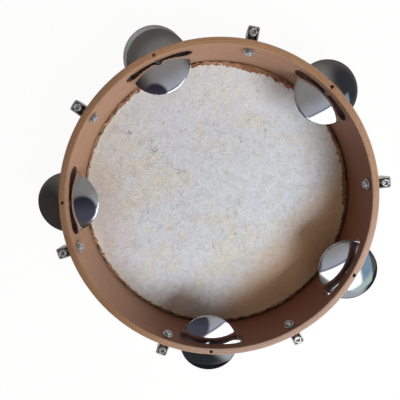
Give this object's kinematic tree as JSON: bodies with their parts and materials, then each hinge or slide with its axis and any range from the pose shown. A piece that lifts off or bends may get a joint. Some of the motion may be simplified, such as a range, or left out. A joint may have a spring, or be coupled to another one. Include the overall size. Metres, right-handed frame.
{
  "type": "pandeiro",
  "caption": "Round hand-held frame drum: bent wood hoop, tunable goatskin head, and paired metal jingle cups loose on pins in slots through the hoop.",
  "frame": {"origin": "centre of the head's outer playing face, on the drum's axis", "axes": "+Z along the drum's axis from the head to the open back edge; +X to the right and +Y up as the back is seen in the picture"},
  "size_m": [0.2884, 0.2917, 0.05],
  "materials": {
    "hoop_wood": "thin satin varnish on bent ply",
    "goatskin": "raw, matte, mottled",
    "flesh_hoop_cane": "raw",
    "hoop_chrome": "bright plated",
    "hook_steel": "zinc plated",
    "bracket_plate": "dulled plated sheet",
    "nut_chrome": "plated",
    "washer_steel": "zinc plated",
    "screw_steel": "zinc plated",
    "pin_steel": "bright drawn wire",
    "cup_chrome": "mirror plated",
    "damper_steel": "plain sheet"
  },
  "bodies": {
    "drum": {"hoop_frame": "hoop_wood", "head_skin": "goatskin", "flesh_hoop": "flesh_hoop_cane", "lug_bracket_1": "bracket_plate", "lug_washer_1": "washer_steel", "lug_screw_1": "screw_steel", "lug_bracket_2": "bracket_plate", "lug_washer_2": "washer_steel", "lug_screw_2": "screw_steel", "lug_bracket_3": "bracket_plate", "lug_washer_3": "washer_steel", "lug_screw_3": "screw_steel", "lug_bracket_4": "bracket_plate", "lug_washer_4": "washer_steel", "lug_screw_4": "screw_steel", "lug_bracket_5": "bracket_plate", "lug_washer_5": "washer_steel", "lug_screw_5": "screw_steel", "lug_bracket_6": "bracket_plate", "lug_washer_6": "washer_steel", "lug_screw_6": "screw_steel", "jingle_pin_1": "pin_steel", "jingle_pin_2": "pin_steel", "jingle_pin_3": "pin_steel", "jingle_pin_4": "pin_steel", "jingle_pin_5": "pin_steel"},
    "tensioner": {"tension_hoop": "hoop_chrome", "tension_hook_1": "hook_steel", "tension_hook_2": "hook_steel", "tension_hook_3": "hook_steel", "tension_hook_4": "hook_steel", "tension_hook_5": "hook_steel", "tension_hook_6": "hook_steel"},
    "nut_1": {"tuning_nut_1": "nut_chrome"},
    "nut_2": {"tuning_nut_2": "nut_chrome"},
    "nut_3": {"tuning_nut_3": "nut_chrome"},
    "nut_4": {"tuning_nut_4": "nut_chrome"},
    "nut_5": {"tuning_nut_5": "nut_chrome"},
    "nut_6": {"tuning_nut_6": "nut_chrome"},
    "damper_1": {"jingle_damper_1": "damper_steel"},
    "cup_back_1": {"jingle_cup_back_1": "cup_chrome"},
    "cup_head_1": {"jingle_cup_head_1": "cup_chrome"},
    "damper_2": {"jingle_damper_2": "damper_steel"},
    "cup_back_2": {"jingle_cup_back_2": "cup_chrome"},
    "cup_head_2": {"jingle_cup_head_2": "cup_chrome"},
    "damper_3": {"jingle_damper_3": "damper_steel"},
    "cup_back_3": {"jingle_cup_back_3": "cup_chrome"},
    "cup_head_3": {"jingle_cup_head_3": "cup_chrome"},
    "damper_4": {"jingle_damper_4": "damper_steel"},
    "cup_back_4": {"jingle_cup_back_4": "cup_chrome"},
    "cup_head_4": {"jingle_cup_head_4": "cup_chrome"},
    "damper_5": {"jingle_damper_5": "damper_steel"},
    "cup_back_5": {"jingle_cup_back_5": "cup_chrome"},
    "cup_head_5": {"jingle_cup_head_5": "cup_chrome"}
  },
  "joints": [
    {"name": "head_tension", "type": "slide", "parent": "drum", "child": "tensioner", "axis": [0, 0, 1], "range_m": [-0.002, 0]},
    {"name": "nut_1_turn", "type": "hinge", "parent": "drum", "child": "nut_1", "pos_m": [-0.10984, 0.07606, 0.0412], "axis": [0, 0, 1], "range_deg": [0, 1440]},
    {"name": "nut_2_turn", "type": "hinge", "parent": "drum", "child": "nut_2", "pos_m": [0.02503, 0.13123, 0.0412], "axis": [0, 0, 1], "range_deg": [0, 1440]},
    {"name": "nut_3_turn", "type": "hinge", "parent": "drum", "child": "nut_3", "pos_m": [0.1324, 0.0179, 0.0412], "axis": [0, 0, 1], "range_deg": [0, 1440]},
    {"name": "nut_4_turn", "type": "hinge", "parent": "drum", "child": "nut_4", "pos_m": [0.06761, -0.11523, 0.0412], "axis": [0, 0, 1], "range_deg": [0, 1440]},
    {"name": "nut_5_turn", "type": "hinge", "parent": "drum", "child": "nut_5", "pos_m": [-0.04722, -0.12498, 0.0412], "axis": [0, 0, 1], "range_deg": [0, 1440]},
    {"name": "nut_6_turn", "type": "hinge", "parent": "drum", "child": "nut_6", "pos_m": [-0.12749, -0.03995, 0.0412], "axis": [0, 0, 1], "range_deg": [0, 1440]},
    {"name": "jingle_1_rattle", "type": "slide", "parent": "drum", "child": "damper_1", "axis": [0, 0, 1], "range_m": [0, 0.003]},
    {"name": "cup_back_1_spin", "type": "hinge", "parent": "damper_1", "child": "cup_back_1", "pos_m": [-0.04976, 0.1139, 0.036], "axis": [0, 0, 1], "continuous": true},
    {"name": "cup_head_1_spin", "type": "hinge", "parent": "damper_1", "child": "cup_head_1", "pos_m": [-0.04976, 0.1139, 0.032], "axis": [0, 0, 1], "continuous": true},
    {"name": "jingle_2_rattle", "type": "slide", "parent": "drum", "child": "damper_2", "axis": [0, 0, 1], "range_m": [0, 0.003]},
    {"name": "cup_back_2_spin", "type": "hinge", "parent": "damper_2", "child": "cup_back_2", "pos_m": [0.08461, 0.09105, 0.036], "axis": [0, 0, 1], "continuous": true},
    {"name": "cup_head_2_spin", "type": "hinge", "parent": "damper_2", "child": "cup_head_2", "pos_m": [0.08461, 0.09105, 0.032], "axis": [0, 0, 1], "continuous": true},
    {"name": "jingle_3_rattle", "type": "slide", "parent": "drum", "child": "damper_3", "axis": [0, 0, 1], "range_m": [0, 0.003]},
    {"name": "cup_back_3_spin", "type": "hinge", "parent": "damper_3", "child": "cup_back_3", "pos_m": [0.11016, -0.05759, 0.036], "axis": [0, 0, 1], "continuous": true},
    {"name": "cup_head_3_spin", "type": "hinge", "parent": "damper_3", "child": "cup_head_3", "pos_m": [0.11016, -0.05759, 0.032], "axis": [0, 0, 1], "continuous": true},
    {"name": "jingle_4_rattle", "type": "slide", "parent": "drum", "child": "damper_4", "axis": [0, 0, 1], "range_m": [0, 0.003]},
    {"name": "cup_back_4_spin", "type": "hinge", "parent": "damper_4", "child": "cup_back_4", "pos_m": [-0.00585, -0.12416, 0.036], "axis": [0, 0, 1], "continuous": true},
    {"name": "cup_head_4_spin", "type": "hinge", "parent": "damper_4", "child": "cup_head_4", "pos_m": [-0.00585, -0.12416, 0.032], "axis": [0, 0, 1], "continuous": true},
    {"name": "jingle_5_rattle", "type": "slide", "parent": "drum", "child": "damper_5", "axis": [0, 0, 1], "range_m": [0, 0.003]},
    {"name": "cup_back_5_spin", "type": "hinge", "parent": "damper_5", "child": "cup_back_5", "pos_m": [-0.12428, 0.00217, 0.036], "axis": [0, 0, 1], "continuous": true},
    {"name": "cup_head_5_spin", "type": "hinge", "parent": "damper_5", "child": "cup_head_5", "pos_m": [-0.12428, 0.00217, 0.032], "axis": [0, 0, 1], "continuous": true}
  ],
  "couplings": [
    {"joint": "nut_1_turn", "follows": "head_tension", "rad_per_m": -12566},
    {"joint": "nut_2_turn", "follows": "head_tension", "rad_per_m": -12566},
    {"joint": "nut_3_turn", "follows": "head_tension", "rad_per_m": -12566},
    {"joint": "nut_4_turn", "follows": "head_tension", "rad_per_m": -12566},
    {"joint": "nut_5_turn", "follows": "head_tension", "rad_per_m": -12566},
    {"joint": "nut_6_turn", "follows": "head_tension", "rad_per_m": -12566}
  ]
}
